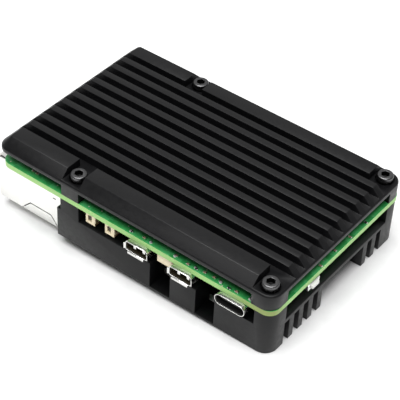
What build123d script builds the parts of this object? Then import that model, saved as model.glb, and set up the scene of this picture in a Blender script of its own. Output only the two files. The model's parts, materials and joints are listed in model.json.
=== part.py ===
"""Single board computer in a two-piece finned metal case, lying with its solder side up.

Frame: millimetres, +Z up, +X towards the memory card end, -Y towards the power and
display ports. The origin is on the ground, below the middle of the whole object.

Most sizes are given as distances "along" the board, from its memory card end, and
"across" it, from its port edge. Levels are heights above the ground.
"""
import os

from build123d import *

# Circuit board
BOARD_LENGTH = 85.0
BOARD_WIDTH = 56.0
BOARD_THICKNESS = 1.5
BOARD_CORNER = 3.0
HOLE_INSET = 3.5
HOLE_SPACING = 58.0
HOLE_DIAMETER = 2.7

# What stands out past the board's edges
JACK_OVERHANG = 3.0
BUTTON_OVERHANG = 1.0
USB_C_OVERHANG = 1.3
HDMI_OVERHANG = 1.1

# Stacking heights, from the ground up
USB_STACK_HEIGHT = 16.0
SHELL_HEIGHT = 12.9
POST_HEIGHT = 3.1
PLATE_THICKNESS = 3.8

# Upper finned plate
PLATE_LENGTH = 86.2
PLATE_WIDTH = 56.2
PLATE_CORNER = 3.5
PLATE_CHAMFER = 2.7
GROOVE_COUNT = 11
GROOVE_PITCH = 4.0
GROOVE_WIDTH = 2.0
GROOVE_DEPTH = 2.3
UPPER_GROOVE_START = 8.2
POCKET_WIDTH = 5.6
POST_SIZE = 6.2

# Lower finned shell
SHELL_LENGTH = 66.0
SHELL_CORNER = 3.5
SHELL_STEP = 1.2
SHELL_STEP_DEPTH = 3.7
SHELL_FIN_HEIGHT = 6.9
SHELL_BASE_THICKNESS = 1.2
SHELL_GROOVE_START = 7.0
SHELL_WALL = 4.5
PORT_SILL_DEPTH = 4.6
PORT_OPENING = (5.0, 58.8)
TALL_NOTCHES = ((16.3, 21.9), (29.7, 35.9))
NOTCH_LEDGE = 0.5
NOTCH_DEPTH = 9.0
CABLE_RECESS = (22.0, 40.0)
CABLE_RECESS_DEPTH = 8.0
PIN_SLOT = (6.6, 58.8)
PIN_SLOT_START = 49.3

# Case screws, M2.5 socket heads
SCREW_DIAMETER = 2.46
SCREW_BORE = 2.6
SCREW_LENGTH = 12.0
HEAD_DIAMETER = 4.3
HEAD_CLEARANCE = 0.3
HEAD_HEIGHT = 2.5
HEX_SIZE = 2.0
HEX_DEPTH = 1.4

# Ports: distance along the board of each centre
USB_C_ALONG = 11.2
HDMI_ALONG = {"hdmi_0": 26.0, "hdmi_1": 39.5}
USB_C_SIZE = (8.94, 3.26, 7.4)
HDMI_SIZE = (6.8, 3.3, 7.6)
HDMI_CORNER = 0.8
SHEET = 0.3

# Ribbon connectors, with a sliding latch
RIBBON_THICKNESS = 3.0
RIBBON_BODY_HEIGHT = 2.9
RIBBON_LATCH_HEIGHT = 0.8
RIBBON_PITCH = 0.5

# Jacks: distance across the board of each centre
ETHERNET_ACROSS = 10.2
ETHERNET_SIZE = (21.3, 16.0, 13.5)
USB_ACROSS = {"usb3": 29.1, "usb2": 47.0}
USB_SIZE = (17.5, 13.2)
USB_PORT_HEIGHT = 5.2
USB_PORT_LEVELS = (0.9, 9.3)
USB_FRAME = 0.4

# Pin headers
PIN_PITCH = 2.54
PIN_SIZE = 0.64
PIN_LENGTH = 8.5
PIN_TAIL = 1.2
PIN_HOLE = 1.1
HEADER_COLUMNS = 20
HEADER_MIDDLE = (32.5, 52.5)
POWER_PINS_MIDDLE = (61.5, 10.6)

# Power button
BUTTON_ACROSS = 16.75
BUTTON_BODY = (3.5, 4.8, 1.7)
PLUNGER_SIZE = (1.6, 2.8, 1.0)
PLUNGER_GAP = 0.1

# The frame's origin, and the levels that everything is built from
CARD_END_X = (BOARD_LENGTH + JACK_OVERHANG - BUTTON_OVERHANG) / 2
PORT_EDGE_Y = -(PLATE_WIDTH + BOARD_WIDTH - 2 * USB_C_OVERHANG) / 4
UNDER_BOARD = USB_STACK_HEIGHT
OVER_BOARD = UNDER_BOARD + BOARD_THICKNESS
UNDER_PLATE = OVER_BOARD + POST_HEIGHT
OVER_PLATE = UNDER_PLATE + PLATE_THICKNESS
UNDER_SHELL = UNDER_BOARD - SHELL_HEIGHT
FIN_ROOT = UNDER_SHELL + SHELL_FIN_HEIGHT
SHELL_FLOOR = FIN_ROOT + SHELL_BASE_THICKNESS
PORT_SILL = UNDER_BOARD - PORT_SILL_DEPTH
POCKET_FLOOR = OVER_PLATE - GROOVE_DEPTH
HEAD_SEAT = UNDER_PLATE + 0.6
JACK_END = BOARD_LENGTH + JACK_OVERHANG
HOLES = [
    (along, across)
    for along in (HOLE_INSET, HOLE_INSET + HOLE_SPACING)
    for across in (HOLE_INSET, BOARD_WIDTH - HOLE_INSET)
]


def spot(along, across):
    """The X and Y of a place on the board."""
    return (CARD_END_X - along, PORT_EDGE_Y + across)


def box(along, across, levels, mode=Mode.ADD, corner=0.0):
    """A block between two distances along, two across and two levels."""
    near = spot(along[1], across[0])
    far = spot(along[0], across[1])
    size = (far[0] - near[0], far[1] - near[1])
    with BuildSketch(Plane.XY.offset(levels[0])) as outline:
        with Locations(((near[0] + far[0]) / 2, (near[1] + far[1]) / 2)):
            if corner:
                RectangleRounded(*size, corner)
            else:
                Rectangle(*size)
    extrude(outline.sketch, amount=levels[1] - levels[0], mode=mode)


def rods(places, radius, levels, mode=Mode.ADD):
    """Upright round bars, or bores, at some places on the board."""
    with BuildSketch(Plane.XY.offset(levels[0])) as outline:
        with Locations(*[spot(*place) for place in places]):
            Circle(radius)
    extrude(outline.sketch, amount=levels[1] - levels[0], mode=mode)


def about(middle, width):
    """The two ends of a width centred on a middle."""
    return (middle - width / 2, middle + width / 2)


def write(piece, name):
    """Labels a finished piece and writes it as its own file."""
    piece.part.label = name
    export_step(piece.part, f"parts/{name}.step")


def header_places(middle, columns):
    """The pins of a two-row header."""
    first = middle[0] - (columns - 1) * PIN_PITCH / 2
    return [
        (first + column * PIN_PITCH, middle[1] + side * PIN_PITCH / 2)
        for column in range(columns)
        for side in (-1, 1)
    ]


# ---------------------------------------------------------------- circuit board


def make_circuit_board():
    pins = header_places(HEADER_MIDDLE, HEADER_COLUMNS) + header_places(POWER_PINS_MIDDLE, 2)
    with BuildPart() as circuit_board:
        box((0, BOARD_LENGTH), (0, BOARD_WIDTH), (UNDER_BOARD, OVER_BOARD), corner=BOARD_CORNER)
        rods(HOLES, HOLE_DIAMETER / 2, (UNDER_BOARD, OVER_BOARD), Mode.SUBTRACT)
        rods(pins, PIN_HOLE / 2, (UNDER_BOARD, OVER_BOARD), Mode.SUBTRACT)
    write(circuit_board, "circuit_board")


# ------------------------------------------------------------------------- case


def make_upper_finned_plate():
    overhang = (PLATE_WIDTH - BOARD_WIDTH) / 2
    edges = (-overhang, BOARD_WIDTH + overhang)
    far_posts = about(HOLE_INSET + HOLE_SPACING, POCKET_WIDTH)
    with BuildPart() as upper_finned_plate:
        box((0, PLATE_LENGTH), edges, (OVER_BOARD, OVER_PLATE), corner=PLATE_CORNER)
        chamfer(upper_finned_plate.edges().group_by(Axis.Z)[-1], PLATE_CHAMFER)
        # Clear away the underside, except for a post round each screw
        under = (OVER_BOARD, UNDER_PLATE)
        outside = (edges[0] - 1, edges[1] + 1)
        inside = (edges[0] + POST_SIZE, edges[1] - POST_SIZE)
        box((-1, PLATE_LENGTH + 1), inside, under, Mode.SUBTRACT)
        box((POST_SIZE, far_posts[0]), outside, under, Mode.SUBTRACT)
        box((far_posts[1], PLATE_LENGTH + 1), outside, under, Mode.SUBTRACT)
        # Lengthwise grooves, open at both ends
        for number in range(GROOVE_COUNT):
            middle = UPPER_GROOVE_START + number * GROOVE_PITCH
            levels = (OVER_PLATE - GROOVE_DEPTH, OVER_PLATE)
            box((-1, PLATE_LENGTH + 1), about(middle, GROOVE_WIDTH), levels, Mode.SUBTRACT)
        # Screw pockets, open to the long edge and to the nearest groove, each with a round seat
        for along, across in HOLES:
            side = -1 if across < BOARD_WIDTH / 2 else 1
            middle = BOARD_WIDTH / 2
            groove = middle + side * (middle - UPPER_GROOVE_START)
            edge = middle + side * (PLATE_WIDTH / 2 + 1)
            span = about(along, POCKET_WIDTH)
            if along < POCKET_WIDTH:
                span = (-1, span[1])
            box(span, sorted((groove, edge)), (POCKET_FLOOR, OVER_PLATE), Mode.SUBTRACT)
        seat_radius = HEAD_DIAMETER / 2 + HEAD_CLEARANCE
        rods(HOLES, seat_radius, (HEAD_SEAT, POCKET_FLOOR), Mode.SUBTRACT)
        rods(HOLES, SCREW_BORE / 2, (OVER_BOARD, HEAD_SEAT), Mode.SUBTRACT)
    write(upper_finned_plate, "upper_finned_plate")


def make_lower_finned_shell():
    with BuildPart() as lower_finned_shell:
        box((0, SHELL_LENGTH), (0, BOARD_WIDTH), (UNDER_SHELL, UNDER_BOARD))
        fillet(lower_finned_shell.edges().filter_by(Axis.Z).group_by(Axis.X)[-1], SHELL_CORNER)
        # Step that clears the network jack
        step = (SHELL_LENGTH - SHELL_STEP, SHELL_LENGTH + 1)
        levels = (UNDER_BOARD - SHELL_STEP_DEPTH, UNDER_BOARD)
        box(step, (-1, BOARD_WIDTH + 1), levels, Mode.SUBTRACT)
        # Room for the components, open at both short ends between the posts
        room = (SHELL_FLOOR, UNDER_BOARD)
        between = (POST_SIZE, BOARD_WIDTH - POST_SIZE)
        box((-1, SHELL_LENGTH + 1), between, room, Mode.SUBTRACT)
        box(PIN_SLOT, (SHELL_WALL, BOARD_WIDTH - SHELL_WALL), room, Mode.SUBTRACT)
        # Ports along the front wall, and two notches that run nearly its full height
        box(PORT_OPENING, (-1, POST_SIZE), (PORT_SILL, UNDER_BOARD), Mode.SUBTRACT)
        for notch in TALL_NOTCHES:
            levels = (UNDER_SHELL + NOTCH_LEDGE, UNDER_BOARD)
            box(notch, (-1, NOTCH_DEPTH), levels, Mode.SUBTRACT)
        # Lengthwise grooves between the lower fins
        for number in range(GROOVE_COUNT):
            middle = SHELL_GROOVE_START + number * GROOVE_PITCH
            levels = (UNDER_SHELL, FIN_ROOT)
            box((-1, SHELL_LENGTH + 1), about(middle, GROOVE_WIDTH), levels, Mode.SUBTRACT)
        # Recess in the fins for a ribbon cable that leaves at the card end
        levels = (UNDER_SHELL, FIN_ROOT)
        box((-1, CABLE_RECESS_DEPTH), CABLE_RECESS, levels, Mode.SUBTRACT)
        # Slots for the pin header and the network power pins
        through = (UNDER_SHELL, UNDER_BOARD)
        box(PIN_SLOT, (PIN_SLOT_START, BOARD_WIDTH + 1), through, Mode.SUBTRACT)
        window = 2 * PIN_PITCH + 0.8
        opening = (about(POWER_PINS_MIDDLE[0], window), about(POWER_PINS_MIDDLE[1], window))
        box(*opening, through, Mode.SUBTRACT)
        # Pads that reach down to the chips
        for middle, size, top, pad in HOT_CHIPS.values():
            span = (about(middle[0], size[0] - 1), about(middle[1], size[1] - 1))
            box(*span, (SHELL_FLOOR, UNDER_BOARD - top - pad))
        depth = UNDER_SHELL + 4
        rods(HOLES, SCREW_BORE / 2, (depth, UNDER_BOARD), Mode.SUBTRACT)
    write(lower_finned_shell, "lower_finned_shell")


def make_case_screws():
    top = HEAD_SEAT + HEAD_HEIGHT
    with BuildPart() as case_screws:
        rods(HOLES, HEAD_DIAMETER / 2, (HEAD_SEAT, top))
        chamfer(case_screws.edges().group_by(Axis.Z)[-1], 0.25)
        with BuildSketch(Plane.XY.offset(top)) as sockets:
            with Locations(*[spot(*hole) for hole in HOLES]):
                RegularPolygon(HEX_SIZE / 2, 6, major_radius=False)
        extrude(sockets.sketch, amount=-HEX_DEPTH, mode=Mode.SUBTRACT)
        rods(HOLES, SCREW_DIAMETER / 2, (HEAD_SEAT - SCREW_LENGTH, HEAD_SEAT))
    write(case_screws, "case_screws")


# ------------------------------------------------- chips, pads and small parts

# Chips that the lower shell cools: middle, size, height and the pad's thickness
HOT_CHIPS = {
    "processor": ((29.0, 30.0), (17.0, 17.0), 2.4, 0.8),
    "memory": ((46.0, 31.0), (10.0, 14.5), 1.0, 1.0),
    "port_controller": ((60.0, 31.0), (11.0, 11.0), 1.1, 1.0),
    "power_manager": ((13.0, 15.0), (7.0, 7.0), 0.9, 1.0),
}
PLAIN_CHIPS = {
    "network_chip": ((60.0, 20.5), (7.0, 7.0), 0.9),
    "flash_chip": ((44.0, 20.5), (3.0, 4.0), 0.8),
}


def make_chips():
    middle, size, height, _ = HOT_CHIPS["processor"]
    lid_base = UNDER_BOARD - 1.0
    with BuildPart() as processor_package:
        span = (about(middle[0], size[0]), about(middle[1], size[1]))
        box(*span, (lid_base, UNDER_BOARD))
    write(processor_package, "processor_package")

    with BuildPart() as processor_heat_spreader:
        span = (about(middle[0], size[0] - 2), about(middle[1], size[1] - 2))
        box(*span, (UNDER_BOARD - height, lid_base), corner=0.8)
    write(processor_heat_spreader, "processor_heat_spreader")

    plain = {name: chip[:3] for name, chip in HOT_CHIPS.items() if name != "processor"}
    plain.update(PLAIN_CHIPS)
    for name, (middle, size, height) in plain.items():
        with BuildPart() as chip:
            span = (about(middle[0], size[0]), about(middle[1], size[1]))
            box(*span, (UNDER_BOARD - height, UNDER_BOARD))
        write(chip, name)


def make_thermal_pads():
    with BuildPart() as thermal_pads:
        for middle, size, top, pad in HOT_CHIPS.values():
            span = (about(middle[0], size[0] - 3), about(middle[1], size[1] - 3))
            box(*span, (UNDER_BOARD - top - pad, UNDER_BOARD - top))
    write(thermal_pads, "thermal_pads")


def make_wireless_shield():
    with BuildPart() as wireless_shield:
        box((7.0, 18.6), (37.0, 46.6), (UNDER_BOARD - 1.6, UNDER_BOARD), corner=0.5)
    write(wireless_shield, "wireless_shield")


def make_power_coils():
    with BuildPart() as power_coils:
        for along, across in ((13.0, 9.2), (6.8, 15.0), (13.0, 21.0), (20.0, 15.5)):
            span = (about(along, 4.0), about(across, 4.0))
            box(*span, (UNDER_BOARD - 2.0, UNDER_BOARD), corner=0.6)
    write(power_coils, "power_coils")


def make_crystals():
    with BuildPart() as crystals:
        for along, across in ((40.5, 20.0), (53.0, 22.5), (67.5, 24.0)):
            span = (about(along, 2.5), about(across, 2.0))
            box(*span, (UNDER_BOARD - 0.6, UNDER_BOARD), corner=0.3)
    write(crystals, "crystals")


def make_lower_capacitors():
    """Rows of small ceramic capacitors round the processor and by the ports."""
    beside_processor = [(along, 24.5 + 1.6 * n) for along in (19.0, 39.3) for n in range(6)]
    above_processor = [(22.0 + 2.2 * n, 41.5) for n in range(8)]
    card_end = [(1.3, across) for across in (9.0, 11.0, 24.6, 38.0, 43.0)]
    by_ports = [(along, 2.4) for along in (17.6, 20.4, 44.6, 45.9, 52.3)]
    levels = (UNDER_BOARD - 0.8, UNDER_BOARD)
    with BuildPart() as lower_capacitors:
        for along, across in beside_processor + above_processor:
            box(about(along, 1.6), about(across, 0.8), levels)
        for along, across in card_end + by_ports:
            box(about(along, 0.8), about(across, 1.6), levels)
    write(lower_capacitors, "lower_capacitors")


def make_upper_capacitors():
    """Small parts on the solder side, most of them near the port edge."""
    places = [(10.7, 0.7), (12.7, 0.5), (15.5, 1.0), (17.5, 1.1), (20.2, 1.0), (22.5, 0.7)]
    places += [(24.9, 0.6), (28.8, 1.1), (38.5, 1.0), (42.3, 0.8), (73.9, 1.8), (75.3, 1.9)]
    places += [(0.6, 20.4), (0.9, 27.0), (0.7, 33.3), (0.6, 40.2)]
    places += [(29.0 + 2.2 * column, 28.0 + 1.6 * row) for column in range(4) for row in range(4)]
    with BuildPart() as upper_capacitors:
        for along, across in places:
            box(about(along, 1.0), about(across, 0.6), (OVER_BOARD, OVER_BOARD + 0.55))
    write(upper_capacitors, "upper_capacitors")


# ------------------------------------------------------- power and display ports


def stadium(middle, size, base):
    """The rounded outline of a reversible power port, standing on its edge."""
    plane = Plane(origin=(middle[0], base, middle[1]), x_dir=(1, 0, 0), z_dir=(0, -1, 0))
    with BuildSketch(plane) as outline:
        RectangleRounded(size[0], size[1], size[1] / 2 - 0.01)
    return outline.sketch


def make_usb_c_port():
    width, height, depth = USB_C_SIZE
    middle = (spot(USB_C_ALONG, 0)[0], UNDER_BOARD - height / 2)
    back = PORT_EDGE_Y - USB_C_OVERHANG + depth
    with BuildPart() as usb_c_shell:
        extrude(stadium(middle, (width, height), back), amount=depth)
        hollow = stadium(middle, (width - 2 * SHEET, height - 2 * SHEET), back - SHEET)
        extrude(hollow, amount=depth, mode=Mode.SUBTRACT)
    write(usb_c_shell, "usb_c_shell")

    mouth = -USB_C_OVERHANG
    root = mouth + depth - SHEET
    with BuildPart() as usb_c_tongue:
        level = middle[1]
        box(about(USB_C_ALONG, 6.6), (mouth + 1.0, root - 1.5), about(level, 0.7))
        box(about(USB_C_ALONG, 5.6), (root - 1.5, root), about(level, height - 2 * SHEET - 0.1))
    write(usb_c_tongue, "usb_c_tongue")


def hdmi_outline(middle, inset, base):
    """Narrow next to the board, where two corners are cut off, and wide away from it."""
    width, height, _ = HDMI_SIZE
    plane = Plane(origin=(middle, base, UNDER_BOARD), x_dir=(1, 0, 0), z_dir=(0, -1, 0))
    half = width / 2 - inset
    low = -height + inset
    with BuildSketch(plane) as outline:
        with BuildLine():
            Polyline(
                (HDMI_CORNER - half, -inset),
                (half - HDMI_CORNER, -inset),
                (half, -inset - HDMI_CORNER),
                (half, low),
                (-half, low),
                (-half, -inset - HDMI_CORNER),
                close=True,
            )
        make_face()
    return outline.sketch


def make_hdmi_port(name, along):
    depth = HDMI_SIZE[2]
    middle = spot(along, 0)[0]
    back = PORT_EDGE_Y - HDMI_OVERHANG + depth
    with BuildPart() as hdmi_shell:
        extrude(hdmi_outline(middle, 0, back), amount=depth)
        extrude(hdmi_outline(middle, SHEET, back - SHEET), amount=depth, mode=Mode.SUBTRACT)
    write(hdmi_shell, f"{name}_shell")

    root = depth - HDMI_OVERHANG - SHEET
    level = UNDER_BOARD - HDMI_SIZE[1] / 2 + 0.1
    with BuildPart() as hdmi_tongue:
        box(about(along, 4.6), (0.2 - HDMI_OVERHANG + 0.8, root - 1.5), about(level, 0.7))
        box(about(along, 4.4), (root - 1.5, root), about(level, 2.0))
    write(hdmi_tongue, f"{name}_tongue")


# ------------------------------------------------------------ ribbon connectors


def make_ribbon_connector(name, along, across, pins):
    """An upright ribbon connector: a body, its contacts and a latch that slides off it."""
    body_levels = (UNDER_BOARD - RIBBON_BODY_HEIGHT, UNDER_BOARD)
    latch_levels = (body_levels[0] - RIBBON_LATCH_HEIGHT, body_levels[0])
    row = (pins - 1) * RIBBON_PITCH
    middle = (sum(along) / 2, sum(across) / 2)
    ribbon = (about(middle[0], 0.9), about(middle[1], row + 1.2))
    end_slot = 0.7
    with BuildPart() as ribbon_body:
        box(along, across, body_levels)
        box(*ribbon, (body_levels[0], body_levels[1] - 0.6), Mode.SUBTRACT)
        for end in across:
            box(about(middle[0], end_slot), about(end, 0.6), body_levels, Mode.SUBTRACT)
    write(ribbon_body, f"{name}_body")

    with BuildPart() as ribbon_contacts:
        for number in range(pins):
            place = middle[1] - row / 2 + number * RIBBON_PITCH
            levels = (body_levels[0] + 0.4, body_levels[1] - 0.6)
            box((ribbon[0][1] - 0.3, ribbon[0][1]), about(place, 0.2), levels)
        for end, side in zip(across, (1, -1)):
            inner = sorted((end, end + side * 0.25))
            box(about(middle[0], end_slot - 0.1), inner, (body_levels[0] + 0.9, body_levels[1]))
    write(ribbon_contacts, f"{name}_contacts")

    with BuildPart() as ribbon_latch:
        box(along, across, latch_levels)
        box(*ribbon, latch_levels, Mode.SUBTRACT)
    write(ribbon_latch, f"{name}_latch")


def make_ribbon_connectors():
    half = RIBBON_THICKNESS / 2
    length = 14.4
    start = 0.6
    for name, along in (("camera_connector", 49.2), ("display_connector", 55.4)):
        span = (along - half, along + half)
        make_ribbon_connector(name, span, (start, start + length), 22)
    make_ribbon_connector("expansion_connector", (3.2, 3.2 + 2 * half), (23.0, 34.4), 16)


# ---------------------------------------------------------- small wire connectors


def make_wire_connector(name, along, across, pins):
    """A side-entry wire connector that opens towards the port edge."""
    width = pins + 1.6
    depth = 4.25
    height = 2.95
    levels = (UNDER_BOARD - height, UNDER_BOARD)
    with BuildPart() as housing:
        box(about(along, width), (across, across + depth), levels)
        mouth = (across - 1, across + depth - 1.0)
        room = (levels[0] + 0.5, levels[1] - 0.9)
        box(about(along, width - 1.2), mouth, room, Mode.SUBTRACT)
    write(housing, f"{name}_housing")

    with BuildPart() as contacts:
        for number in range(pins):
            place = along + number - (pins - 1) / 2
            level = sum(room) / 2
            box(about(place, 0.3), (across + 0.9, across + depth - 1.0), about(level, 0.3))
    write(contacts, f"{name}_contacts")


# ------------------------------------------------------------------ pin headers


def make_pin_header(name, middle, columns):
    places = header_places(middle, columns)
    span = (about(middle[0], columns * PIN_PITCH), about(middle[1], 2 * PIN_PITCH))
    levels = (UNDER_BOARD - PIN_PITCH, UNDER_BOARD)
    with BuildPart() as base:
        box(*span, levels)
        for along, across in places:
            hole = (about(along, PIN_SIZE), about(across, PIN_SIZE))
            box(*hole, levels, Mode.SUBTRACT)
    write(base, f"{name}_base")

    with BuildPart() as pins:
        for along, across in places:
            sides = (about(along, PIN_SIZE), about(across, PIN_SIZE))
            box(*sides, (UNDER_BOARD - PIN_LENGTH, OVER_BOARD + PIN_TAIL))
    write(pins, f"{name}_pins")


# ------------------------------------------------------------------------ jacks


def make_ethernet_jack():
    length, width, height = ETHERNET_SIZE
    along = (JACK_END - length, JACK_END)
    across = about(ETHERNET_ACROSS, width)
    levels = (UNDER_BOARD - height, UNDER_BOARD)
    inside = (
        (along[0] + SHEET, along[1]),
        (across[0] + SHEET, across[1] - SHEET),
        (levels[0] + SHEET, levels[1] - SHEET),
    )
    with BuildPart() as ethernet_shield:
        box(along, across, levels)
        box(*inside, Mode.SUBTRACT)
    write(ethernet_shield, "ethernet_shield")

    face = along[1] - 0.3
    plug = (face - 13.5, face + 1)
    with BuildPart() as ethernet_housing:
        box((inside[0][0], face), *inside[1:])
        box(plug, about(ETHERNET_ACROSS, 11.9), (5.2, 12.1), Mode.SUBTRACT)
        box(plug, about(ETHERNET_ACROSS, 6.3), (12.1, 13.6), Mode.SUBTRACT)
        box(plug, about(ETHERNET_ACROSS, 3.4), (13.6, 14.9), Mode.SUBTRACT)
        for side in (-1, 1):
            lamp = about(ETHERNET_ACROSS + side * 5.9, 3.0)
            box((face - 3, face + 1), lamp, (3.2, 4.9), Mode.SUBTRACT)
    write(ethernet_housing, "ethernet_housing")

    with BuildPart() as ethernet_lamps:
        for side in (-1, 1):
            box((face - 3, face), about(ETHERNET_ACROSS + side * 5.9, 3.0), (3.2, 4.9))
    write(ethernet_lamps, "ethernet_lamps")

    with BuildPart() as ethernet_contacts:
        for number in range(8):
            place = ETHERNET_ACROSS + (number - 3.5) * 1.02
            plane = Plane.XZ.offset(-(PORT_EDGE_Y + place))
            front = spot(face - 2.0, 0)[0]
            rear = spot(face - 11.5, 0)[0]
            with BuildSketch(plane) as wire:
                with BuildLine():
                    Polyline(
                        (front, 5.6), (rear, 9.6), (rear, 9.95), (front, 5.95), close=True
                    )
                make_face()
            extrude(wire.sketch, amount=0.22, both=True)
    write(ethernet_contacts, "ethernet_contacts")


def make_usb_stack(name, across, contacts):
    """Two flat ports one above the other in a sheet-metal shield."""
    length, width = USB_SIZE
    along = (JACK_END - length, JACK_END)
    sides = about(across, width)
    face = JACK_END - USB_FRAME
    inside = (
        (along[0] + USB_FRAME, face),
        (sides[0] + USB_FRAME, sides[1] - USB_FRAME),
        (USB_FRAME, UNDER_BOARD - USB_FRAME),
    )
    port_sides = about(across, inside[1][1] - inside[1][0] - 0.6)
    floor = face - 12.0
    with BuildPart() as shield:
        box(along, sides, (0, UNDER_BOARD))
        box(*inside, Mode.SUBTRACT)
        for level in USB_PORT_LEVELS:
            levels = (level, level + USB_PORT_HEIGHT)
            box((face - 1, JACK_END + 1), port_sides, levels, Mode.SUBTRACT)
    write(shield, f"{name}_shield")

    with BuildPart() as housing:
        box(*inside)
        for level in USB_PORT_LEVELS:
            levels = (level, level + USB_PORT_HEIGHT)
            box((floor, face + 1), port_sides, levels, Mode.SUBTRACT)
            box((floor, face - 0.6), about(across, 11.0), (level + 0.7, level + 2.5))
    write(housing, f"{name}_housing")

    spacing = 9.0 / contacts
    with BuildPart() as strips:
        for level in USB_PORT_LEVELS:
            for number in range(contacts):
                place = across + (number - (contacts - 1) / 2) * spacing
                levels = (level + 2.5, level + 2.65)
                box((floor, face - 1.4), about(place, spacing * 0.5), levels)
    write(strips, f"{name}_contacts")


# ------------------------------------------------- button, lamp and card socket


def make_power_button():
    depth, width, height = BUTTON_BODY
    front = -0.3
    levels = (UNDER_BOARD - height, UNDER_BOARD)
    plunger_levels = about(sum(levels) / 2, PLUNGER_SIZE[2])
    plunger_sides = about(BUTTON_ACROSS, PLUNGER_SIZE[1])
    plunger_root = PLUNGER_SIZE[0] - BUTTON_OVERHANG
    grow = PLUNGER_GAP
    with BuildPart() as power_button_body:
        box((front, front + depth), about(BUTTON_ACROSS, width), levels)
        tunnel = (
            (front - 1, plunger_root + 0.4),
            (plunger_sides[0] - grow, plunger_sides[1] + grow),
            (plunger_levels[0] - grow, plunger_levels[1] + grow),
        )
        box(*tunnel, Mode.SUBTRACT)
    write(power_button_body, "power_button_body")

    with BuildPart() as power_button_plunger:
        box((-BUTTON_OVERHANG, plunger_root), plunger_sides, plunger_levels)
        fillet(power_button_plunger.edges().group_by(Axis.X)[-1], 0.25)
    write(power_button_plunger, "power_button_plunger")


def make_status_lamp():
    with BuildPart() as status_lamp:
        box((0.4, 1.2), about(13.4, 1.6), (UNDER_BOARD - 0.7, UNDER_BOARD))
    write(status_lamp, "status_lamp")


def make_card_socket():
    along = (1.8, 15.2)
    across = (21.0, 35.0)
    levels = (OVER_BOARD, OVER_BOARD + 1.45)
    base_levels = (OVER_BOARD, OVER_BOARD + 0.3)
    with BuildPart() as card_socket_shell:
        box(along, across, (base_levels[1], levels[1]))
        inside = (along[0] - 1, along[1] - 0.8), (across[0] + 0.9, across[1] - 0.9)
        box(*inside, (base_levels[1], levels[1] - 0.2), Mode.SUBTRACT)
    write(card_socket_shell, "card_socket_shell")

    with BuildPart() as card_socket_base:
        box(along, across, base_levels)
    write(card_socket_base, "card_socket_base")


os.makedirs("parts", exist_ok=True)
make_circuit_board()
make_upper_finned_plate()
make_lower_finned_shell()
make_case_screws()
make_chips()
make_thermal_pads()
make_wireless_shield()
make_power_coils()
make_crystals()
make_lower_capacitors()
make_upper_capacitors()
make_usb_c_port()
for port_name, port_along in HDMI_ALONG.items():
    make_hdmi_port(port_name, port_along)
make_ribbon_connectors()
make_wire_connector("debug_connector", 31.9, 0.6, 3)
make_wire_connector("battery_connector", 18.4, 6.4, 2)
make_wire_connector("fan_connector", 53.0, 43.5, 4)
make_pin_header("pin_header", HEADER_MIDDLE, HEADER_COLUMNS)
make_pin_header("network_power_header", POWER_PINS_MIDDLE, 2)
make_ethernet_jack()
make_usb_stack("usb3", USB_ACROSS["usb3"], 9)
make_usb_stack("usb2", USB_ACROSS["usb2"], 4)
make_power_button()
make_status_lamp()
make_card_socket()
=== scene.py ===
"""Looks of a single board computer held between the two halves of a black finned metal case.

Places are given as in the CAD, in millimetres: "along" the board from its memory card end,
"across" it from its port edge, and as levels above the ground.
"""
import json
import math

import bmesh
import bpy
from mathutils import Matrix, Vector


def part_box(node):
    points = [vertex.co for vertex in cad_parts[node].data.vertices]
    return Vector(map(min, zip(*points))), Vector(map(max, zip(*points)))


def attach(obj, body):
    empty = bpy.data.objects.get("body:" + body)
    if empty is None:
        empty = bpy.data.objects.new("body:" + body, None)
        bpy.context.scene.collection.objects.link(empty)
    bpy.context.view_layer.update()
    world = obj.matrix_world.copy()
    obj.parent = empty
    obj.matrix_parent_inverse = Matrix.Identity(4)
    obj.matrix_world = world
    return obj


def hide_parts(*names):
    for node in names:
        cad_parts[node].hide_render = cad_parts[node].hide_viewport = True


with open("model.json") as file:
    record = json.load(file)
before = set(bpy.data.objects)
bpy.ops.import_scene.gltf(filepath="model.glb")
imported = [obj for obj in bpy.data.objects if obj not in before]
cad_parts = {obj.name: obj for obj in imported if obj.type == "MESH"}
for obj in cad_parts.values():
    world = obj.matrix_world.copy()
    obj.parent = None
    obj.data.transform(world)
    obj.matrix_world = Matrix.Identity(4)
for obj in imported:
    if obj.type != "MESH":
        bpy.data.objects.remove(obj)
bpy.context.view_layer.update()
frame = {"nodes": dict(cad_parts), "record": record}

MM = 0.001
BODY = "computer"
NODES = frame["nodes"]
board_low, board_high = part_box("circuit_board")
CARD_END_X = board_high.x / MM
PORT_EDGE_Y = board_low.y / MM
UNDER_BOARD = board_low.z / MM
OVER_BOARD = board_high.z / MM

# The ports' centres along the board
USB_C_ALONG = 11.2
HDMI_ALONG = {"hdmi_0": 26.0, "hdmi_1": 39.5}


# ------------------------------------------------------------------ camera and light

# The USB stacks are taller than the shell, so the object leans: the floor is sloped instead.
REST_NEAR_X = -27.0
REST_FAR_X = 43.5
REST_RISE = 3.1

CAMERA_AZIMUTH = 35.617
CAMERA_ELEVATION = 41.736
CAMERA_ROLL = 3.147
CAMERA_DISTANCE = 341.25
CAMERA_TARGET = (10.672, -12.367, 23.551)
CAMERA_LENS = 127.24
FLOOR_HALF = 3.0
# The way to the brighter part of the sky, and the strengths away from it and at it
BRIGHT_SKY = (-0.43, 0.61, 0.67)
SKY_STRENGTHS = (0.18, 0.60)
SOFTBOX_PLACE = (0.03, -0.2, 1.2)
SOFTBOX_SIZE = 1.1
SOFTBOX_POWER = 22


def link(thing):
    bpy.context.scene.collection.objects.link(thing)
    return thing


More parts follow.
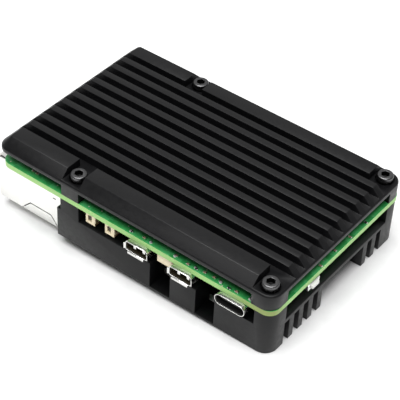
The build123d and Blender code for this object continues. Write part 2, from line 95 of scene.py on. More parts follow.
def make_camera():
    azimuth = math.radians(CAMERA_AZIMUTH)
    elevation = math.radians(CAMERA_ELEVATION)
    roll = math.radians(CAMERA_ROLL)
    level = math.cos(elevation)
    back = Vector(
        (math.sin(azimuth) * level, -math.cos(azimuth) * level, math.sin(elevation))
    )
    right = Vector((math.cos(azimuth), math.sin(azimuth), 0))
    up = back.cross(right)
    rolled_right = math.cos(roll) * right + math.sin(roll) * up
    rolled_up = math.cos(roll) * up - math.sin(roll) * right
    lens = bpy.data.cameras.new("camera")
    lens.sensor_width = 36
    lens.lens = CAMERA_LENS
    lens.clip_start, lens.clip_end = 0.01, 30
    camera = link(bpy.data.objects.new("camera", lens))
    pose = Matrix((rolled_right, rolled_up, back)).transposed().to_4x4()
    pose.translation = (Vector(CAMERA_TARGET) + back * CAMERA_DISTANCE) * MM
    camera.matrix_world = pose
    bpy.context.scene.camera = camera


def make_floor():
    slope = REST_RISE / (REST_FAR_X - REST_NEAR_X)
    half = FLOOR_HALF
    outline = ((-half, -half), (half, -half), (half, half), (-half, half))
    corners = [(x, y, (x - REST_NEAR_X * MM) * slope) for x, y in outline]
    mesh = bpy.data.meshes.new("floor")
    mesh.from_pydata(corners, [], [(0, 1, 2, 3)])
    floor = link(bpy.data.objects.new("floor", mesh))
    mesh.materials.append(paint("floor_white", (0.9, 0.9, 0.9), 0.9, specular=0.1))


def make_light(name, place, size, power):
    lamp = bpy.data.lights.new(name, "AREA")
    lamp.size = size
    lamp.energy = power
    light = link(bpy.data.objects.new(name, lamp))
    light.location = place
    light.rotation_euler = (-Vector(place)).to_track_quat("-Z", "Y").to_euler()


def make_studio():
    world = bpy.data.worlds.new("studio")
    bpy.context.scene.world = world
    world.use_nodes = True
    tree = world.node_tree
    background = tree.nodes["Background"]
    background.inputs["Color"].default_value = (1, 1, 1, 1)
    # The black faces on top mirror the sky at the back and left, which is the brighter part
    direction = node(tree, "ShaderNodeTexCoord", {})["Generated"]
    facing = node(
        tree, "ShaderNodeVectorMath", {0: direction, 1: BRIGHT_SKY}, operation="DOT_PRODUCT"
    )["Value"]
    tree.links.new(span(tree, facing, 0.2, 1.0, *SKY_STRENGTHS), background.inputs["Strength"])
    make_light("high_softbox", SOFTBOX_PLACE, SOFTBOX_SIZE, SOFTBOX_POWER)
    bpy.context.scene.view_settings.view_transform = "Standard"


# --------------------------------------------------------------------------- materials

# In metres, as are the places in the materials
GRAIN_HEIGHT = 0.00004
BOARD_LAYER_PITCH = 0.0005


def node(tree, kind, inputs, **settings):
    made = tree.nodes.new(kind)
    for key, value in settings.items():
        setattr(made, key, value)
    for key, value in inputs.items():
        socket = made.inputs[key]
        if isinstance(value, bpy.types.NodeSocket):
            tree.links.new(value, socket)
        else:
            socket.default_value = value
    return made.outputs


def noise(tree, scale, detail=2.0):
    where = node(tree, "ShaderNodeTexCoord", {})["Object"]
    return node(tree, "ShaderNodeTexNoise", {"Vector": where, "Scale": scale, "Detail": detail})[0]


def blend_colours(tree, share, first, second):
    """Blends two colours, each given as three numbers or as another node's output."""
    first, second = (
        (*colour, 1) if isinstance(colour, tuple) else colour for colour in (first, second)
    )
    # Its colour inputs have the numbers 6 and 7, and its colour output the number 2
    return node(tree, "ShaderNodeMix", {0: share, 6: first, 7: second}, data_type="RGBA")[2]


def span(tree, value, low, high, start, end):
    """Turns the stretch low to high of a value into start to end."""
    inputs = {"Value": value, 1: low, 2: high, 3: start, 4: end}
    return node(tree, "ShaderNodeMapRange", inputs)[0]


def paint(name, colour, roughness, metallic=0.0, specular=0.5, blotch=0.12, grain=0.15, fine=5000):
    """A surface with slight blotches of colour and gloss and a fine grain."""
    material = bpy.data.materials.new(name)
    material.use_nodes = True
    tree = material.node_tree
    shader = tree.nodes["Principled BSDF"]
    shader.inputs["Metallic"].default_value = metallic
    shader.inputs["Specular IOR Level"].default_value = specular
    broad = noise(tree, 160, 4)
    dark = tuple(part * (1 - blotch) for part in colour)
    light = tuple(min(1, part * (1 + blotch)) for part in colour)
    tree.links.new(blend_colours(tree, broad, dark, light), shader.inputs["Base Color"])
    rough = span(tree, noise(tree, 900), 0.3, 0.7, roughness * 0.85, roughness * 1.15)
    tree.links.new(rough, shader.inputs["Roughness"])
    bump = node(
        tree, "ShaderNodeBump",
        {"Strength": grain, "Distance": GRAIN_HEIGHT, "Height": noise(tree, fine)},
    )[0]
    tree.links.new(bump, shader.inputs["Normal"])
    return material


def place_of(tree):
    where = node(tree, "ShaderNodeTexCoord", {})["Object"]
    return node(tree, "ShaderNodeSeparateXYZ", {0: where})


def both(tree, first, second):
    """The smaller of two values, so 1 only where each of them is 1."""
    return node(tree, "ShaderNodeMath", {0: first, 1: second}, operation="MINIMUM")[0]


def paint_recess_shade():
    """Grooves and pockets: duller, as painted shade, but for the groove floors where they run out
    at the card end.
    """
    material = paint("anodised_recess_shade", (0.003, 0.003, 0.0035), 0.45, blotch=0.2)
    tree = material.node_tree
    place = place_of(tree)
    # The floors run out between the plate's two side flats, over the last of its length, and get
    # less painted shade there
    runs_out = span(tree, place["X"], 0.0400, 0.0418, 0.0, 1.0)
    near = span(tree, place["Y"], -0.0205, -0.0190, 0.0, 1.0)
    far = span(tree, place["Y"], 0.0200, 0.0215, 1.0, 0.0)
    share = both(tree, both(tree, near, far), runs_out)
    tree.links.new(
        span(tree, share, 0.0, 1.0, 0.14, 0.32),
        tree.nodes["Principled BSDF"].inputs["Specular IOR Level"],
    )
    return material


def paint_laminate():
    """The cut edge of the board: pale glass fibre with the lines of its inner layers."""
    material = paint("board_edge", (0.38, 0.68, 0.23), 0.5, blotch=0.12)
    tree = material.node_tree
    shader = tree.nodes["Principled BSDF"]
    place = place_of(tree)
    turns = node(
        tree, "ShaderNodeMath", {0: place["Z"], 1: 2 * math.pi / BOARD_LAYER_PITCH},
        operation="MULTIPLY",
    )[0]
    wave = node(tree, "ShaderNodeMath", {0: turns}, operation="SINE")[0]
    share = span(tree, wave, 0.2, 1.0, 0.0, 0.45)
    body = shader.inputs["Base Color"].links[0].from_socket
    layered = blend_colours(tree, share, body, (0.24, 0.46, 0.11))
    # Painted shade at the near corner: the rim is darker and browner there
    along = span(tree, place["X"], 0.030, 0.039, 0.0, 1.0)
    across = span(tree, place["Y"], -0.026, -0.021, 1.0, 0.0)
    corner = both(tree, along, across)
    shaded_corner_colour = blend_colours(tree, corner, layered, (0.28, 0.36, 0.10))
    tree.links.new(shaded_corner_colour, shader.inputs["Base Color"])
    return material


def paint_mask():
    """Green solder mask over copper tracks and pours, with small tinned holes."""
    material = paint("board_mask", (0.05, 0.38, 0.09), 0.35, grain=0.05)
    tree = material.node_tree
    shader = tree.nodes["Principled BSDF"]
    where = node(tree, "ShaderNodeTexCoord", {})["Object"]
    cells = node(
        tree, "ShaderNodeTexVoronoi", {"Vector": where, "Scale": 420.0},
        feature="F1", distance="CHEBYCHEV",
    )
    tracks = span(tree, cells["Distance"], 0.36, 0.40, 0.0, 1.0)
    pours = span(tree, noise(tree, 260, 1), 0.50, 0.52, 0.0, 0.7)
    green = blend_colours(tree, tracks, (0.035, 0.33, 0.08), (0.07, 0.46, 0.14))
    green = blend_colours(tree, pours, green, (0.05, 0.40, 0.10))
    holes = node(
        tree, "ShaderNodeTexVoronoi", {"Vector": where, "Scale": 520.0}, feature="F1",
    )
    tinned = span(tree, holes["Distance"], 0.09, 0.12, 1.0, 0.0)
    tree.links.new(
        blend_colours(tree, tinned, green, (0.62, 0.60, 0.48)), shader.inputs["Base Color"]
    )
    return material


ANODISED = paint(
    "anodised_black", (0.004, 0.004, 0.0045), 0.4, specular=0.29, blotch=0.2, grain=0.25
)
# Painted shade for the case's grooves, pockets and inner faces: they reflect less
RECESS_SHADE = paint_recess_shade()
SCREW = paint("screw_black_steel", (0.12, 0.12, 0.122), 0.3, 1.0, grain=0.1)
# Painted shade in the screws' hex sockets: the same steel made near black
SOCKET_SHADE = paint("screw_socket_shade", (0.012, 0.012, 0.012), 0.5, 1.0, grain=0.1)
SHEET = paint("tinned_sheet", (0.86, 0.855, 0.83), 0.38, 1.0, blotch=0.03, grain=0.01)
STEEL = paint("bright_steel", (0.72, 0.72, 0.70), 0.22, 1.0, grain=0.06)
GOLD = paint("gold_contact", (0.83, 0.60, 0.24), 0.25, 1.0, grain=0.05)
TIN = paint("solder_tin", (0.78, 0.78, 0.76), 0.3, 1.0, grain=0.2)
CREAM = paint("cream_plastic", (0.90, 0.78, 0.55), 0.5, blotch=0.06)
BLACK = paint("black_plastic", (0.012, 0.012, 0.012), 0.45, blotch=0.2)
BLUE = paint("blue_plastic", (0.015, 0.10, 0.45), 0.4)
WHITE = paint("white_plastic", (0.85, 0.85, 0.82), 0.35, blotch=0.04)
# Brown plastic, and painted shade on the ribbon latches' sides
BROWN_AND_SIDE_SHADE = paint("brown_plastic_and_side_shade", (0.10, 0.05, 0.022), 0.5)
# Painted shade inside the ports' mouths and the ribbon connectors' slots
SLOT_SHADE = paint("slot_painted_shade", (0.035, 0.028, 0.012), 0.6)
CHIP = paint("chip_black", (0.018, 0.018, 0.02), 0.55, blotch=0.25, grain=0.4)
PACKAGE = paint("package_green", (0.03, 0.16, 0.06), 0.5)
PAD = paint("thermal_pad_grey", (0.36, 0.38, 0.40), 0.9, blotch=0.15, grain=0.6, fine=2500)
FERRITE = paint("ferrite_grey", (0.10, 0.10, 0.11), 0.6, blotch=0.2, grain=0.4)
CERAMIC = paint("ceramic_tan", (0.42, 0.30, 0.19), 0.5)
LAMP = paint("lamp_clear", (0.75, 0.80, 0.55), 0.2)
GREEN_LENS = paint("lamp_green", (0.10, 0.50, 0.14), 0.2)
AMBER_LENS = paint("lamp_amber", (0.80, 0.45, 0.06), 0.2)
EDGE = paint_laminate()
MASK = paint_mask()

PAINT_OF_SLOT = {
    "case_metal": ANODISED, "screw_steel": SCREW, "board_green": MASK, "shield_metal": SHEET,
    "contact_gold": GOLD, "cream_plastic": CREAM, "black_plastic": BLACK, "blue_plastic": BLUE,
    "white_plastic": WHITE, "chip_black": CHIP, "package_green": PACKAGE, "pad_grey": PAD,
    "coil_grey": FERRITE, "ceramic_tan": CERAMIC, "lamp_lens": LAMP,
}
SLOT_OF_NODE = {part["node"]: part["material_slot"] for part in frame["record"]["subparts"]}
BODY_OF_NODE = {
    name: body for body, names in frame["record"]["behaviour"]["bodies"].items() for name in names
}


# ---------------------------------------------------------------------- making pieces

EDGE_MIN_ANGLE = math.radians(38)
SMOOTH_MAX_ANGLE = math.radians(32)
FLAT_MAX_ANGLE = math.radians(1)
SAME_POINT = 1e-6


def spot(along, across, level):
    """A point in the frame, in metres."""
    return Vector((CARD_END_X - along, PORT_EDGE_Y + across, level)) * MM


def about(middle, width):
    """The span of a width about its middle."""
    return (middle - width / 2, middle + width / 2)


def circle(middle, radius, count=24):
    """Points round a circle on a level plane."""
    turns = [2 * math.pi * number / count for number in range(count)]
    return [(middle[0] + radius * math.cos(t), middle[1] + radius * math.sin(t)) for t in turns]


def rounded(low, high, radius, steps=4):
    """Points round a rectangle with rounded corners."""
    corners = (
        ((high[0] - radius, high[1] - radius), 0),
        ((low[0] + radius, high[1] - radius), 90),
        ((low[0] + radius, low[1] + radius), 180),
        ((high[0] - radius, low[1] + radius), 270),
    )
    points = []
    for middle, start in corners:
        for step in range(steps + 1):
            turn = math.radians(start + 90 * step / steps)
            points.append(
                (middle[0] + radius * math.cos(turn), middle[1] + radius * math.sin(turn))
            )
    return points


class Shape:
    """Solids that are gathered into one piece."""

    def __init__(self):
        self.mesh = bmesh.new()

    def skin(self, rings, paint_number=0):
        """Joins rings of points into a closed solid."""
        made = [[self.mesh.verts.new(spot(*point)) for point in ring] for ring in rings]
        count = len(made[0])
        faces = [self.mesh.faces.new(made[0]), self.mesh.faces.new(made[-1])]
        for low, high in zip(made, made[1:]):
            for number in range(count):
                after = (number + 1) % count
                corners = (low[number], low[after], high[after], high[number])
                faces.append(self.mesh.faces.new(corners))
        for face in faces:
            face.material_index = paint_number

    def block(self, along, across, levels, paint_number=0):
        outline = [
            (along[0], across[0]), (along[1], across[0]),
            (along[1], across[1]), (along[0], across[1]),
        ]
        self.layered(outline, levels, paint_number)

    def layered(self, outline, levels, paint_number=0):
        """Skins one outline drawn along and across, at each of the levels."""
        self.skin([[(*point, level) for point in outline] for level in levels], paint_number)

    def turned(self, middle, profile, count=24, paint_number=0):
        """Turns a profile of radius and level about an upright line."""
        self.skin(
            [
                [(*point, level) for point in circle(middle, radius, count)]
                for radius, level in profile
            ],
            paint_number,
        )

    def upright(self, outlines, paint_number=0):
        """Skins outlines drawn along and upwards, each at its own distance across."""
        self.skin(
            [[(u, across, v) for u, v in outline] for across, outline in outlines], paint_number
        )

    def sideways(self, outline, along, paint_number=0):
        """Skins one outline drawn across and upwards, at each place along."""
        self.skin([[(place, *point) for point in outline] for place in along], paint_number)

    def data(self, name):
        bmesh.ops.recalc_face_normals(self.mesh, faces=self.mesh.faces)
        mesh = bpy.data.meshes.new(name)
        self.mesh.to_mesh(mesh)
        self.mesh.free()
        return mesh

    def piece(self, name, paints, edge=0.0, stands_for=(), body=BODY):
        return settle(self.data(name), name, paints, edge, stands_for, body)


def applied(thing):
    """The mesh of an object with its modifiers applied."""
    graph = bpy.context.evaluated_depsgraph_get()
    return bpy.data.meshes.new_from_object(thing.evaluated_get(graph))


def settle(mesh, name, paints, edge=0.0, stands_for=(), body=BODY, cutter=None):
    """Makes a mesh into a piece: its edges rounded, cut, painted, and riding on its body."""
    thing = link(bpy.data.objects.new(name, mesh))
    if edge:
        rounding = thing.modifiers.new("edges", "BEVEL")
        rounding.width = edge * MM
        rounding.segments = 2
        rounding.limit_method = "ANGLE"
        rounding.angle_limit = EDGE_MIN_ANGLE
        rounding.use_clamp_overlap = False
        thing.data = applied(thing)
        thing.modifiers.clear()
    if cutter is not None:
        tool = link(bpy.data.objects.new("cutter", cutter))
        cut = thing.modifiers.new("cut", "BOOLEAN")
        cut.operation = "DIFFERENCE"
        cut.solver = "EXACT"
        cut.use_self = True
        cut.object = tool
        thing.data = applied(thing)
        thing.modifiers.clear()
        bpy.data.objects.remove(tool)
    thing.data.name = name
    for material in paints:
        thing.data.materials.append(material)
    thing.data.shade_smooth()
    thing.data.set_sharp_from_angle(angle=SMOOTH_MAX_ANGLE)
    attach(thing, body)
    if stands_for:
        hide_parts(*stands_for)
    return thing


def copy_of(name, choose=None):
    """A node's mesh with its flat faces made whole again, and each face's paint chosen."""
    source = NODES[name].data
    copy = bmesh.new()
    places = [copy.verts.new(vertex.co) for vertex in source.vertices]
    for polygon in source.polygons:
        copy.faces.new([places[number] for number in polygon.vertices])
    bmesh.ops.remove_doubles(copy, verts=copy.verts, dist=SAME_POINT)
    bmesh.ops.dissolve_limit(
        copy, angle_limit=FLAT_MAX_ANGLE, verts=copy.verts, edges=copy.edges
    )
    bmesh.ops.recalc_face_normals(copy, faces=copy.faces)
    if choose:
        for face in copy.faces:
            face.material_index = choose(face)
    mesh = bpy.data.meshes.new(name)
    copy.to_mesh(mesh)
    copy.free()
    return mesh


def finish(name, edge, paints=None, choose=None, cutter=None):
    """Stands a node's copy, with rounded edges, in its place."""
    slot = SLOT_OF_NODE[name]
    paints = paints or [PAINT_OF_SLOT[slot]]
    mesh = copy_of(name, choose)
    return settle(
        mesh, name + "_finished", paints, edge, [name], BODY_OF_NODE[name], cutter
    )


def board_spans(low, high):
    """The spans along, across and in level between two corners in the frame, in millimetres."""
    return (
        (CARD_END_X - high[0], CARD_END_X - low[0]),
        (low[1] - PORT_EDGE_Y, high[1] - PORT_EDGE_Y),
        (low[2], high[2]),
    )


def node_spans(name):
    """The spans along, across and in level that a node fills."""
    low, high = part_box(name)
    return board_spans([part / MM for part in low], [part / MM for part in high])


def islands(name):
    """The box of each separate solid of a node: its spans along, across and in level."""
    loose = bmesh.new()
    loose.from_mesh(NODES[name].data)
    bmesh.ops.remove_doubles(loose, verts=loose.verts, dist=SAME_POINT)
    seen, boxes = set(), []
    for start in loose.verts:
        if start in seen:
            continue
        seen.add(start)
        group, waiting = [], [start]
        while waiting:
            vertex = waiting.pop()
            group.append(vertex.co / MM)
            for edge in vertex.link_edges:
                other = edge.other_vert(vertex)
                if other not in seen:
                    seen.add(other)
                    waiting.append(other)
        low = [min(co[axis] for co in group) for axis in range(3)]
        high = [max(co[axis] for co in group) for axis in range(3)]
        boxes.append(board_spans(low, high))
    loose.free()
    return sorted(boxes)


# ------------------------------------------------------------------------------- board

HOLE_PLACES = [(along, across) for along in (3.5, 61.5) for across in (3.5, 52.5)]
HOLE_RADIUS = 1.36
LAND_RADIUS = 3.05
LAND_THICKNESS = 0.03
# A side face nearer than this to the board's outline belongs to its rim
RIM_DEPTH = 0.9

# Small parts: each cap's share of the length, how far the body between the caps stands back,
# and how much lower than their boxes the parts on the solder side are
CAP_SHARE = 0.24
BODY_INSET = 0.03
SOLDER_SIDE_LOWERING = 0.15


def board_paint(face):
    """0 on the two faces, 1 on the rim, 2 in the holes."""
    if abs(face.normal.z) > 0.5:
        return 0
    middle = face.calc_center_median()
    gaps = (middle - board_low, board_high - middle)
    return 1 if min(gap[axis] for gap in gaps for axis in (0, 1)) < RIM_DEPTH * MM else 2


def make_board():
    finish("circuit_board", 0.0, [MASK, EDGE, TIN], board_paint)

    lands = Shape()
    for place in HOLE_PLACES:
        for level, lift in ((OVER_BOARD, LAND_THICKNESS), (UNDER_BOARD, -LAND_THICKNESS)):
            profile = [
                (HOLE_RADIUS, level), (LAND_RADIUS, level),
                (LAND_RADIUS, level + lift), (HOLE_RADIUS, level + lift),
            ]
            lands.turned(place, profile, 32)
    lands.piece("hole_lands", [TIN])

    joints = Shape()
    for box in islands("pin_header_pins") + islands("network_power_header_pins"):
        middle = (sum(box[0]) / 2, sum(box[1]) / 2)
        cone = [(0.86, 0.0), (0.8, 0.1), (0.5, 0.4), (0.36, 0.8)]
        joints.turned(middle, [(radius, OVER_BOARD + rise) for radius, rise in cone], 12)
    for along, across, radius in solder_domes():
        profile = [
            (radius, OVER_BOARD), (radius * 0.85, OVER_BOARD + 0.25),
            (radius * 0.4, OVER_BOARD + 0.55),
        ]
        joints.turned((along, across), profile, 12)
    joints.piece("solder_joints", [TIN])


def solder_domes():
    """Place and radius of each round joint on the solder side of the jacks and ports."""
    domes = []
    for contacts in ((24.6, 27.6, 30.6, 33.6), (43.4, 45.8, 48.2, 50.6)):
        domes += [(along, across, 0.55) for along in (74.0, 76.0) for across in contacts]
    domes += [(70.5 + 1.27 * n, 6.6 + 2.0 * (n % 2), 0.45) for n in range(8)]
    shields = (17.5, 22.6, 35.6, 40.6, 53.4)
    domes += [(along, across, 0.9) for along in (77.5, 82.0) for across in shields]
    ports = [(middle, 3.1, 4.9) for middle in HDMI_ALONG.values()] + [(USB_C_ALONG, 4.2, 4.6)]
    for middle, reach, back in ports:
        legs = (middle - reach, middle + reach)
        domes += [(along, across, 0.5) for along in legs for across in (0.9, back)]
    return domes


def make_small_part(shape, box, dark):
    """A ceramic part in its box, with a tinned cap at each end of its longer side."""
    along, across, (bottom, top) = box
    lengthwise = along[1] - along[0] > across[1] - across[0]
    run, side = (along, across) if lengthwise else (across, along)
    cap = (run[1] - run[0]) * CAP_SHARE
    if bottom > UNDER_BOARD:
        top -= SOLDER_SIDE_LOWERING
    for stretch, paint_number, inset in (
        ((run[0], run[0] + cap), 0, 0.0),
        ((run[1] - cap, run[1]), 0, 0.0),
        ((run[0] + cap, run[1] - cap), 2 if dark else 1, BODY_INSET),
    ):
        width = (side[0] + inset, side[1] - inset)
        spans = (stretch, width) if lengthwise else (width, stretch)
        shape.block(*spans, (bottom + inset, top - inset), paint_number)


def make_small_parts():
    for name in ("upper_capacitors", "lower_capacitors"):
        parts = Shape()
        for number, box in enumerate(islands(name)):
            make_small_part(parts, box, number % 4 == 1)
        parts.piece(name + "_finished", [TIN, CERAMIC, CHIP], 0.05, [name])

    coils = Shape()
    for along, across, (bottom, top) in islands("power_coils"):
        outer = rounded((along[0], across[0]), (along[1], across[1]), 0.6)
        inner = rounded(
            (along[0] + 0.3, across[0] + 0.3), (along[1] - 0.3, across[1] - 0.3), 0.5
        )
        rings = ((outer, top), (outer, bottom + 0.25), (inner, bottom))
        coils.skin([[(*point, level) for point in ring] for ring, level in rings])
    coils.piece("power_coils_finished", [FERRITE], 0.0, ["power_coils"])

    for name, edge in (
        ("crystals", 0.08), ("processor_package", 0.06), ("processor_heat_spreader", 0.15),
        ("memory", 0.1), ("port_controller", 0.1), ("power_manager", 0.08), ("network_chip", 0.08),
        ("flash_chip", 0.06), ("thermal_pads", 0.12), ("wireless_shield", 0.15),
        ("card_socket_shell", 0.08), ("card_socket_base", 0.05), ("status_lamp", 0.08),
    ):
        finish(name, edge)


# -------------------------------------------------------------------------------- case

# How deep the outer surface counts, and how far a screw's socket reaches from its middle
OUTER_SKIN = 0.2
SOCKET_REACH = 1.1


def outside(face, low, high):
    """Whether a face lies on the outside of the box that its piece fills."""
    middle = face.calc_center_median()
    for axis in range(3):
        near = min(middle[axis] - low[axis], high[axis] - middle[axis]) < OUTER_SKIN * MM
        if near and abs(face.normal[axis]) > 0.5:
            return True
    return 0.3 < abs(face.normal.z) < 0.95 or min(abs(face.normal.x), abs(face.normal.y)) > 0.05


def make_case():
    # Faces inside the outer box of each case half get the painted recess shade
    for name in ("upper_finned_plate", "lower_finned_shell"):
        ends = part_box(name)
        finish(
            name, 0.14, [ANODISED, RECESS_SHADE],
            lambda face, ends=ends: 0 if outside(face, *ends) else 1,
        )
    top = node_spans("case_screws")[2][1]

    def in_socket(face):
        middle = face.calc_center_median() / MM
        place = (CARD_END_X - middle.x, middle.y - PORT_EDGE_Y)
        reach = min(math.dist(place, hole) for hole in HOLE_PLACES)
        return 1 if reach < SOCKET_REACH and middle.z < top - 0.05 else 0

    # The hex sockets are painted near black, as shade inside them
    finish("case_screws", 0.12, [SCREW, SOCKET_SHADE], in_socket)


# ------------------------------------------------------------------------------- ports

USB_C_LEVEL = UNDER_BOARD - 1.63
USB_C_HALF = 4.36
USB_C_RISE = 1.58
HDMI_HALF = 3.4
HDMI_HEIGHT = 3.3
RIBBON_END_LENGTH = 0.4
PIN_PITCH = 2.54
PIN_POINT = 0.16
BASE_CORNER = 0.45


def usb_c_outline(inset):
    """The port's rounded outline, drawn in from its outer face."""
    half, rise = USB_C_HALF - inset, USB_C_RISE - inset
    low = (USB_C_ALONG - half, USB_C_LEVEL - rise)
    return rounded(low, (USB_C_ALONG + half, USB_C_LEVEL + rise), rise - 0.01, 7)


def make_usb_c():
    mouth, back = -1.3, 6.1
    outer, inner = usb_c_outline(0.0), usb_c_outline(0.18)
    shell = Shape()
    shell.upright([(back, outer), (mouth, outer), (mouth, inner), (back - 0.4, inner)])
    shell.piece("usb_c_shell_finished", [STEEL], 0.03, ["usb_c_shell"])

    # A black sleeve inside the shell is painted shade in the port's mouth
    outer, inner = usb_c_outline(0.2), usb_c_outline(0.3)
    painted_shade = Shape()
    painted_shade.upright([(5.6, outer), (mouth + 0.3, outer), (mouth + 0.3, inner), (5.4, inner)])
    painted_shade.piece("usb_c_painted_shade", [BLACK])

    finish("usb_c_tongue", 0.06)
    strips = Shape()
    for number in range(12):
        along = about(USB_C_ALONG - 2.75 + 0.5 * number, 0.26)
        for side in (-1, 1):
            levels = sorted((USB_C_LEVEL + side * 0.35, USB_C_LEVEL + side * 0.39))
            strips.block(along, (0.9, 4.0), levels)
    strips.piece("usb_c_contacts", [GOLD])


def hdmi_outline(middle, grow):
    """Narrow next to the board, wide away from it."""
    half = HDMI_HALF + grow
    top, bottom = UNDER_BOARD + grow, UNDER_BOARD - HDMI_HEIGHT - grow
    corner, turn = 0.8, 0.35
    return [
        (middle - half + corner, top),
        (middle + half - corner, top),
        (middle + half, top - corner),
        (middle + half, bottom + turn),
        (middle + half - turn, bottom),
        (middle - half + turn, bottom),
        (middle - half, bottom + turn),
        (middle - half, top - corner),
    ]


def make_hdmi(name, middle):
    mouth, back = -0.95, 6.5
    outer, inner = hdmi_outline(middle, 0), hdmi_outline(middle, -0.2)
    shell = Shape()
    shell.upright([(back, outer), (mouth, outer), (mouth, inner), (back - 0.4, inner)])

    # A dark sleeve inside the shell is painted shade in the port's mouth
    outer, inner = hdmi_outline(middle, -0.22), hdmi_outline(middle, -0.32)
    painted_shade = Shape()
    painted_shade.upright([(6.0, outer), (mouth + 0.3, outer), (mouth + 0.3, inner), (5.8, inner)])
    painted_shade.piece(name + "_painted_shade", [SLOT_SHADE])

    # Flared lips at the mouth: one below, one above and one at each side
    low = UNDER_BOARD - HDMI_HEIGHT
    lip = [
        (-0.9, low), (-1.1, low - 0.1), (-1.2, low - 0.6),
        (-1.28, low - 0.6), (-1.28, low + 0.05), (-1.0, low + 0.2),
    ]
    shell.sideways(lip, about(middle, 4.9))
    brow = [
        (-0.9, UNDER_BOARD), (-1.28, UNDER_BOARD - 0.05),
        (-1.28, UNDER_BOARD - 0.25), (-0.9, UNDER_BOARD - 0.2),
    ]
    shell.sideways(brow, about(middle, 5.2))
    for side in (-1, 1):
        wall = middle + side * HDMI_HALF
        flare = [
            (wall, -0.9), (wall + side * 0.1, -1.1), (wall + side * 0.3, -1.25),
            (wall + side * 0.15, -1.28), (wall - side * 0.28, -1.0),
        ]
        shell.layered(flare, (low + 0.45, UNDER_BOARD - 1.0))
    shell.piece(name + "_shell_finished", [STEEL], 0.05, [name + "_shell"])

    finish(name + "_tongue", 0.06)
    springs = Shape()
    for offset in (-2.3, 0.5):
        ramp = [
            (-0.85, UNDER_BOARD - 0.2), (-0.85, UNDER_BOARD - 1.6),
            (-0.65, UNDER_BOARD - 1.6), (-0.65, UNDER_BOARD - 0.2),
        ]
        springs.sideways(ramp, about(middle + offset, 0.8))
    springs.piece(name + "_springs", [STEEL], 0.05)
    contacts = Shape()
    for number in range(10):
        along = about(middle - 1.8 + 0.4 * number, 0.2)
        contacts.block(along, (0.4, 4.6), (UNDER_BOARD - 1.16, UNDER_BOARD - 1.12))
    contacts.piece(name + "_contacts", [GOLD])


def make_ribbon_connectors():
    """Open troughs for a ribbon, with pale ends and a darker middle."""
    for name in ("camera_connector", "display_connector", "expansion_connector"):
        # The latch's faces that look along the board are painted brown, as shade on its sides
        finish(
            name + "_latch", 0.1, [CREAM, BROWN_AND_SIDE_SHADE], lambda face: 1 if abs(face.normal.x) > 0.5 else 0
        )
        along, across, (bottom, top) = node_spans(name + "_body")
        slot = (along[0] + 1.1, along[0] + 2.3)
        roof = top - 1.0
        inner = (across[0] + RIBBON_END_LENGTH, across[1] - RIBBON_END_LENGTH)

        def trough(inset):
            left, right = along[0] + inset, along[1] - inset
            return [
                (left, bottom), (slot[0], bottom), (slot[0], roof), (slot[1], roof),
                (slot[1], bottom), (right, bottom), (right, top), (left, top),
            ]

        ends = Shape()
        for stretch in ((across[0], inner[0]), (inner[1], across[1])):
            ends.upright([(place, trough(0.0)) for place in stretch])
        ends.piece(name + "_ends", [CREAM], 0.07, [name + "_body"])
        middle = Shape()
        middle.upright([(place, trough(0.08)) for place in inner])
        middle.piece(name + "_middle", [BROWN_AND_SIDE_SHADE], 0.07)
        # Painted shade in the slot: its contacts and a dark block inside it
        NODES[name + "_contacts"].data.materials[0] = SLOT_SHADE
        painted_shade = Shape()
        painted_shade.block(slot, inner, (bottom + 0.4, roof))
        painted_shade.piece(name + "_painted_shade", [SLOT_SHADE], 0.05)


def make_wire_connectors():
    for name in ("battery_connector", "fan_connector"):
        finish(name + "_housing", 0.08)
    # This one's mouth is shut by a dust cover
    finish("debug_connector_housing", 0.08)
    along, across, levels = node_spans("debug_connector_housing")
    cover = Shape()
    cover.block(
        (along[0] + 0.1, along[1] - 0.1), (across[0] - 0.1, across[0] + 0.5),
        (levels[0] + 0.1, levels[1] - 0.1),
    )
    cover.piece("debug_connector_cover", [CREAM], 0.1)


def make_pin_headers():
    for name in ("pin_header", "network_power_header"):
        pins = Shape()
        for along, across, (bottom, top) in islands(name + "_pins"):
            rings = []
            for inset, level in (
                (PIN_POINT, bottom), (0, bottom + 0.5), (0, top - 0.4), (PIN_POINT, top),
            ):
                left, right = along[0] + inset, along[1] - inset
                near, far = across[0] + inset, across[1] - inset
                square = ((left, near), (right, near), (right, far), (left, far))
                rings.append([(*corner, level) for corner in square])
            pins.skin(rings)
        pins.piece(name + "_pins_finished", [GOLD], 0.0, [name + "_pins"])

        along, across, levels = node_spans(name + "_base")
        base = Shape()
        for column in range(round((along[1] - along[0]) / PIN_PITCH)):
            for row in range(2):
                left, near = along[0] + PIN_PITCH * column, across[0] + PIN_PITCH * row
                right, far = left + PIN_PITCH, near + PIN_PITCH
                cut = BASE_CORNER
                outline = [
                    (left + cut, near), (right - cut, near), (right, near + cut),
                    (right, far - cut), (right - cut, far), (left + cut, far),
                    (left, far - cut), (left, near + cut),
                ]
                base.layered(outline, levels)
        base.piece(name + "_base_finished", [BLACK], 0.0, [name + "_base"])


# ------------------------------------------------------------------------------- jacks


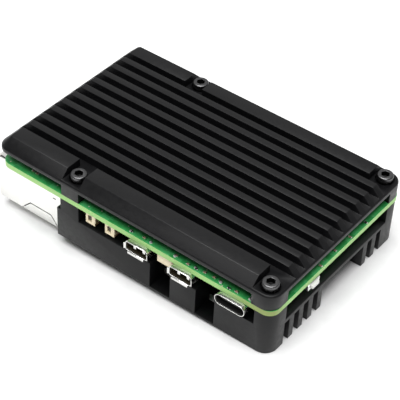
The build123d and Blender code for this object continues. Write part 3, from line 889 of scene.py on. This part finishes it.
def cut_slit(tool, path, across, width):
    """A slit along a path of points, drawn along and upwards, through a side wall."""
    for (u0, v0), (u1, v1) in zip(path, path[1:]):
        length = math.hypot(u1 - u0, v1 - v0)
        du, dv = (u1 - u0) / length * width / 2, (v1 - v0) / length * width / 2
        corners = [
            (u0 - du + dv, v0 - dv - du), (u1 + du + dv, v1 + dv - du),
            (u1 + du - dv, v1 + dv + du), (u0 - du - dv, v0 - dv + du),
        ]
        tool.upright([(place, corners) for place in across])


def make_ethernet_jack():
    spring_tab = [(80.2, 2.6), (77.3, 5.5), (70.2, 5.5), (68.0, 2.8)]
    tool = Shape()
    for wall in node_spans("ethernet_shield")[1]:
        walls = (wall - 0.4, wall + 0.4)
        cut_slit(tool, spring_tab, walls, 0.32)
        tool.block((68.3, 69.3), walls, (11.7, 12.05))
    # A notch in the corner of the mouth next to the board
    tool.block((85.4, 87.4), (2.0, 2.75), (15.6, 16.2))
    finish("ethernet_shield", 0.08, cutter=tool.data("cutter"))
    finish("ethernet_housing", 0.1)
    lamps = Shape()
    for number, (along, across, levels) in enumerate(islands("ethernet_lamps")):
        lamps.block(along, across, levels, number)
    lamps.piece(
        "ethernet_lamps_finished", [GREEN_LENS, AMBER_LENS], 0.15, ["ethernet_lamps"]
    )


def make_usb_stacks():
    for name in ("usb3", "usb2"):
        near, far = node_spans(name + "_shield")[1]
        tool = Shape()
        for wall in (near, far):
            walls = (wall - 0.2, wall + 0.6)
            for port_level in (3.4, 11.8):
                for level in (port_level - 1.0, port_level + 1.0):
                    cut_slit(tool, [(86.0, level), (80.0, level)], walls, 0.3)
        for level in (-0.3, 15.5):
            for middle in (near + 3.6, far - 3.6):
                for side in (-0.9, 0.9):
                    tool.block((80.0, 86.0), about(middle + side, 0.3), (level, level + 0.8))
        finish(name + "_shield", 0.1, cutter=tool.data("cutter"))
        finish(name + "_housing", 0.12)


def make_button():
    finish("power_button_body", 0.1, [STEEL])
    finish("power_button_plunger", 0.12)


# ------------------------------------------------------------------------------ making

make_camera()
make_floor()
make_studio()
for node_name, thing in NODES.items():
    thing.data.materials.clear()
    thing.data.materials.append(PAINT_OF_SLOT[SLOT_OF_NODE[node_name]])
make_board()
make_small_parts()
make_case()
make_usb_c()
for port, port_along in HDMI_ALONG.items():
    make_hdmi(port, port_along)
make_ribbon_connectors()
make_wire_connectors()
make_pin_headers()
make_ethernet_jack()
make_usb_stacks()
make_button()
